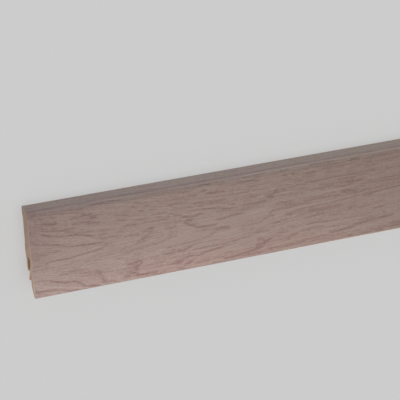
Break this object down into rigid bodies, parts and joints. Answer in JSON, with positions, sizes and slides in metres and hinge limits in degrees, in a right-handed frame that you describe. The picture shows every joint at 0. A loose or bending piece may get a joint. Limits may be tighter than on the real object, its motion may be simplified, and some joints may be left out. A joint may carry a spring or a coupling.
{
  "type": "skirting board length",
  "caption": "Straight length of leaning skirting board with a foil-wrapped front and a milled clip slot and hook along its wall side.",
  "frame": {"origin": "middle of the footprint of the board lying on its back, on the plane of the two lands that touch the wall", "axes": "+X along the length, away from the end seen in the picture; +Y towards the edge that is the top on the wall; +Z out of the wall, through the front face"},
  "size_m": [2.4, 0.058, 0.019],
  "materials": {
    "fibreboard": "raw sawn and milled medium density fibreboard",
    "oak_decor": "matt printed foil with a grey-pink oak decor, grain along the length"
  },
  "bodies": {
    "root": {"mdf_core": "fibreboard", "decor_foil": "oak_decor"}
  },
  "joints": []
}
